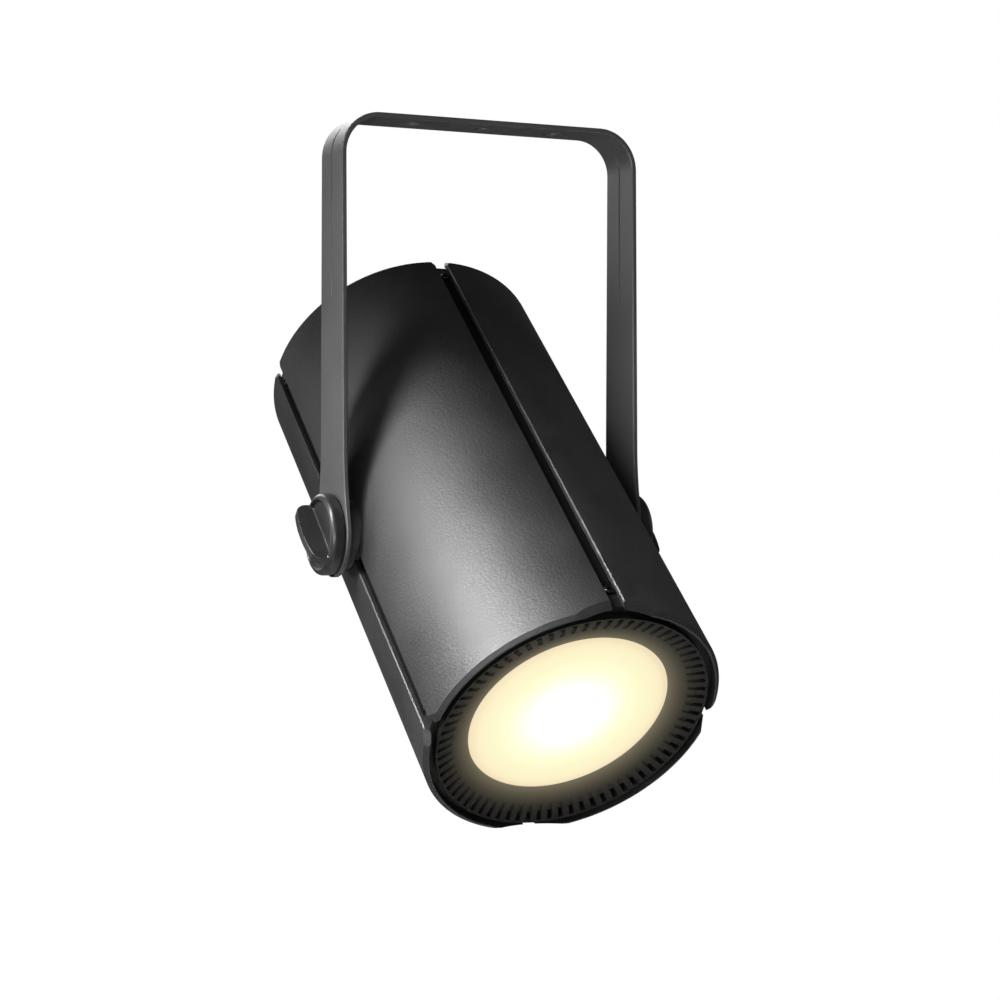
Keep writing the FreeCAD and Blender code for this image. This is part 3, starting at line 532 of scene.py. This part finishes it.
def socketScrewTree():
    # low round head with a rolled edge and a hexagon socket
    tree, given = newTree("socketScrew", [("Head Radius", "Float"), ("Head Height", "Float"), ("Edge", "Float"),
                                          ("Key Radius", "Float"), ("Key Depth", "Float")])
    inner = addNode(tree, "ShaderNodeMath", {0: given["Head Radius"], 1: given["Edge"]}, operation="SUBTRACT")
    shank = addNode(tree, "ShaderNodeMath", {0: given["Head Height"], 1: given["Edge"]}, operation="SUBTRACT")
    side = addNode(tree, "GeometryNodeMeshCone", {
        "Vertices": 28, "Radius Top": given["Head Radius"], "Radius Bottom": given["Head Radius"],
        "Depth": shank.outputs["Value"]}).outputs["Mesh"]
    crown = addNode(tree, "GeometryNodeMeshCone", {
        "Vertices": 28, "Radius Top": inner.outputs["Value"], "Radius Bottom": given["Head Radius"],
        "Depth": given["Edge"]}).outputs["Mesh"]
    crown = moved(tree, crown, shank.outputs["Value"])
    body = addNode(tree, "GeometryNodeMeshBoolean", {}, operation="UNION", solver="EXACT")
    tree.links.new(side, body.inputs["Mesh 2"])
    tree.links.new(crown, body.inputs["Mesh 2"])
    twice = addNode(tree, "ShaderNodeMath", {0: given["Key Depth"], 1: 2.0}, operation="MULTIPLY")
    key = addNode(tree, "GeometryNodeMeshCylinder", {
        "Vertices": 6, "Radius": given["Key Radius"], "Depth": twice.outputs["Value"]}).outputs["Mesh"]
    cut = addNode(tree, "GeometryNodeMeshBoolean", {"Mesh 1": body.outputs["Mesh"]}, operation="DIFFERENCE",
                  solver="EXACT")
    tree.links.new(moved(tree, key, given["Head Height"]), cut.inputs["Mesh 2"])
    return endOnPoints(tree, given, cut.outputs["Mesh"])


def contactTree():
    # round pin with a tapered tip
    tree, given = newTree("contact", [("Radius", "Float"), ("Length", "Float"), ("Tip", "Float")])
    tipShare = 0.45  # of the pin's radius
    end = addNode(tree, "ShaderNodeMath", {0: given["Radius"], 1: tipShare}, operation="MULTIPLY")
    pin = addNode(tree, "GeometryNodeMeshCone", {"Vertices": 20, "Radius Top": given["Radius"],
                                                 "Radius Bottom": given["Radius"], "Depth": given["Length"]})
    tip = addNode(tree, "GeometryNodeMeshCone", {"Vertices": 20, "Radius Top": end.outputs["Value"],
                                                 "Radius Bottom": given["Radius"], "Depth": given["Tip"]})
    both = addNode(tree, "GeometryNodeMeshBoolean", {}, operation="UNION", solver="EXACT")
    tree.links.new(pin.outputs["Mesh"], both.inputs["Mesh 2"])
    tree.links.new(moved(tree, tip.outputs["Mesh"], given["Length"]), both.inputs["Mesh 2"])
    return endOnPoints(tree, given, both.outputs["Mesh"])


def insertTree():
    # round insulator with a ring of holes for contacts
    tree, given = newTree("insert", [("Radius", "Float"), ("Height", "Float"), ("Holes", "Int"),
                                     ("Hole Radius", "Float"), ("Ring Radius", "Float")])
    block = addNode(tree, "GeometryNodeMeshCone", {"Vertices": 48, "Radius Top": given["Radius"],
                                                   "Radius Bottom": given["Radius"], "Depth": given["Height"]})
    ring = addNode(tree, "GeometryNodeMeshCircle", {"Vertices": given["Holes"], "Radius": given["Ring Radius"]})
    drill = addNode(tree, "GeometryNodeMeshCylinder", {"Vertices": 20, "Radius": given["Hole Radius"],
                                                       "Depth": given["Height"]})
    drills = addNode(tree, "GeometryNodeInstanceOnPoints", {"Points": ring.outputs["Mesh"],
                                                            "Instance": drill.outputs["Mesh"]})
    real = addNode(tree, "GeometryNodeRealizeInstances", {"Geometry": drills.outputs["Instances"]})
    cut = addNode(tree, "GeometryNodeMeshBoolean", {"Mesh 1": block.outputs["Mesh"]}, operation="DIFFERENCE",
                  solver="EXACT")
    tree.links.new(moved(tree, real.outputs["Geometry"], given["Height"]), cut.inputs["Mesh 2"])
    return endOnPoints(tree, given, cut.outputs["Mesh"])


def grown(name, tree, places, sizes, mat):
    # places are (point, facing) in the head's axes and millimetres
    mesh = bpy.data.meshes.new(name)
    mesh.from_pydata([at for at, facing in places], [], [])
    facings = mesh.attributes.new("facing", "FLOAT_VECTOR", "POINT")
    for index, (at, facing) in enumerate(places):
        facings.data[index].vector = facing
    draft = looseObject(name + "Draft", mesh)
    modifier = draft.modifiers.new("grow", "NODES")
    modifier.node_group = tree
    wanted = dict(sizes, Material=mat)
    for item in tree.interface.items_tree:
        if item.in_out == "INPUT" and item.name in wanted:
            modifier[item.identifier] = wanted[item.name]
    mesh = settled(draft)
    return newPiece(name, mesh, None, headPlace @ inMillimetres, "head", 32)


screwTree, pinTree, insulatorTree = socketScrewTree(), contactTree(), insertTree()
backwards = (0, 0, -1)


def ringPlaces(radius, z, count, firstDegrees, radial):
    places = []
    for index in range(count):
        angle = math.radians(firstDegrees + index * 360 / count)
        x, y = math.cos(angle), math.sin(angle)
        places.append(((radius * x, radius * y, z), (x, y, 0) if radial else backwards))
    return places


# screws of the rear cover and of the channels, M4 and M3 button heads
coverScrew = {"reach": 73.0, "face": -158.0, "Head Radius": 3.5, "Head Height": 2.8, "Edge": 0.9,
              "Key Radius": 1.55, "Key Depth": 1.5}
channelScrew = {"reach": 82.7, "rows": (140.0, -143.0), "Head Radius": 2.75, "Head Height": 1.8, "Edge": 0.6,
                "Key Radius": 1.2, "Key Depth": 1.0}
places = ringPlaces(coverScrew["reach"], coverScrew["face"], 4, 45, False)
piece = grown("coverScrewHeads", screwTree, places, coverScrew, coats["blackedSteel"])
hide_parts("rear_screws")
places = [place for z in channelScrew["rows"] for place in ringPlaces(channelScrew["reach"], z, 4, 0, True)]
piece = grown("channelScrewHeads", screwTree, places, channelScrew, coats["blackedSteel"])
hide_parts("channel_screws")

# sockets: flange screws, contacts and insulators; power above, data below, inlets at -x
socket = {"columns": (-20.0, 20.0), "powerRow": -8.0, "dataRow": -42.0, "mouth": -160.5, "floor": -148.5,
          "screwAt": (9.7, 12.3)}
flangeScrew = {"Head Radius": 2.1, "Head Height": 1.0, "Edge": 0.4, "Key Radius": 1.0, "Key Depth": 0.7}
powerContact = {"count": 3, "ring": 4.6, "Radius": 1.1, "Length": 7.0, "Tip": 0.8}
dataContact = {"count": 5, "ring": 4.8, "Radius": 0.75, "Length": 8.0, "Tip": 0.6}
powerInsert = {"Radius": 7.4, "Height": 9.5, "Holes": 3, "Hole Radius": 1.35, "Ring Radius": 4.6}
dataInsert = {"Radius": 7.2, "Height": 10.0, "Holes": 5, "Hole Radius": 0.95, "Ring Radius": 4.8}
inletX, outletX = socket["columns"]
screwX, screwY = socket["screwAt"]
places = []
for x in socket["columns"]:
    for y in (socket["powerRow"], socket["dataRow"]):
        places += [((x + side * screwX, y - side * screwY, socket["mouth"]), backwards) for side in (-1, 1)]
grown("flangeScrewHeads", screwTree, places, flangeScrew, coats["blackedSteel"])
for name, look, row in (("powerContacts", powerContact, "powerRow"), ("dataContacts", dataContact, "dataRow")):
    places = [((x + inletX, y + socket[row], z), facing)
              for (x, y, z), facing in ringPlaces(look["ring"], socket["floor"], look["count"], 90, False)]
    grown(name, pinTree, places, look, coats["nickelPlate"])
for name, look, row in (("powerInsert", powerInsert, "powerRow"), ("dataInsert", dataInsert, "dataRow")):
    places = [((outletX, socket[row], socket["floor"]), backwards)]
    grown(name, insulatorTree, places, look, coats["socketNylon"])
print("screws and contacts done")


# studio: pale floor well below the hanging lamp; white for the camera, dim for everything else
studio = {"floorZ": -1.1, "floorSize": 6.0, "floorDark": "#d6d6d4", "floorLight": "#dadad8", "floorCloudMm": 90.0,
          "floorRough": 0.9, "skyLevel": 0.07, "sky": "#ffffff",
          "camera": (-0.5767, -1.2544, -0.2182), "look": (0.42474, 0.90532, -0.00296), "lensMm": 83.98,
          "sensorMm": 36}


def whiteSeen(tree, plain):
    # the plain shader for all light, and plain white for what the camera sees directly; glossy rays are left
    # out, because the dark coats would turn grey in a white room
    white = addNode(tree, "ShaderNodeEmission", {"Color": (1, 1, 1, 1), "Strength": 1.0}).outputs["Emission"]
    path = addNode(tree, "ShaderNodeLightPath").outputs["Is Camera Ray"]
    return addNode(tree, "ShaderNodeMixShader", {0: path, 1: plain, 2: white}).outputs["Shader"]


mat, tree, shader, coords = newMaterial("paleFloor")
cloud = noise(tree, coords, studio["floorCloudMm"])
tone = ramp(tree, cloud, [(0.3, studio["floorDark"]), (0.7, studio["floorLight"])])
tree.links.new(tone, shader.inputs["Base Color"])
shader.inputs["Roughness"].default_value = studio["floorRough"]
tree.links.new(whiteSeen(tree, shader.outputs["BSDF"]), tree.nodes["Material Output"].inputs["Surface"])
bpy.ops.mesh.primitive_plane_add(size=studio["floorSize"], location=(0, 0, studio["floorZ"]))
floor = bpy.context.object
floor.name = "floor"
floor.data.materials.append(mat)

world = bpy.data.worlds.new("studio")
bpy.context.scene.world = world
world.use_nodes = True
tree = world.node_tree
plain = addNode(tree, "ShaderNodeBackground", {"Color": linear(studio["sky"]), "Strength": studio["skyLevel"]})
tree.links.new(whiteSeen(tree, plain.outputs["Background"]), tree.nodes["World Output"].inputs["Surface"])


def softBox(name, look):
    lamp = bpy.data.lights.new(name, "AREA")
    lamp.shape = "RECTANGLE"
    lamp.size, lamp.size_y = look["size"]
    lamp.energy = look["watts"]
    lamp.spread = math.radians(look.get("spread", 180))
    body = bpy.data.objects.new(name, lamp)
    bpy.context.scene.collection.objects.link(body)
    back = (Vector(look["at"]) - Vector(look["aim"])).normalized()
    across = Vector(look.get("along", (0, 0, 1))).cross(back).normalized()
    facing = Matrix((across, back.cross(across), back)).transposed().to_4x4()
    body.matrix_world = Matrix.Translation(look["at"]) @ facing
    body.visible_camera = False


softBoxes = {
    "keyBox": {"at": (-0.62, -0.12, 0.222), "aim": (-0.06, -0.275, -0.415), "along": beam, "size": (0.5, 0.16),
               "watts": 3.9, "spread": 64},
    "stripBox": {"at": (-1.1, -1.12, -0.42), "aim": (-0.05, -0.05, -0.25), "size": (1.3, 0.3), "watts": 17},
    "sideBox": {"at": (-1.3, 0.9, -0.1), "aim": (-0.1, 0, -0.24), "size": (0.8, 0.8), "watts": 4.5},
    "rightBox": {"at": (1.4, -0.5, 0.3), "aim": (0, 0, -0.25), "size": (0.9, 0.9), "watts": 2},
    "backBox": {"at": (0.12, 1.5, 0.6), "aim": (0, 0.1, -0.2), "size": (0.9, 0.9), "watts": 15},
}
for name, look in softBoxes.items():
    softBox(name, look)

camera = bpy.data.objects.new("camera", bpy.data.cameras.new("camera"))
bpy.context.scene.collection.objects.link(camera)
bpy.context.scene.camera = camera
camera.location = studio["camera"]
camera.rotation_euler = Vector(studio["look"]).to_track_quat("-Z", "Y").to_euler()
camera.data.lens = studio["lensMm"]
camera.data.sensor_width = studio["sensorMm"]
bpy.context.scene.view_settings.view_transform = "Standard"
print("studio done")
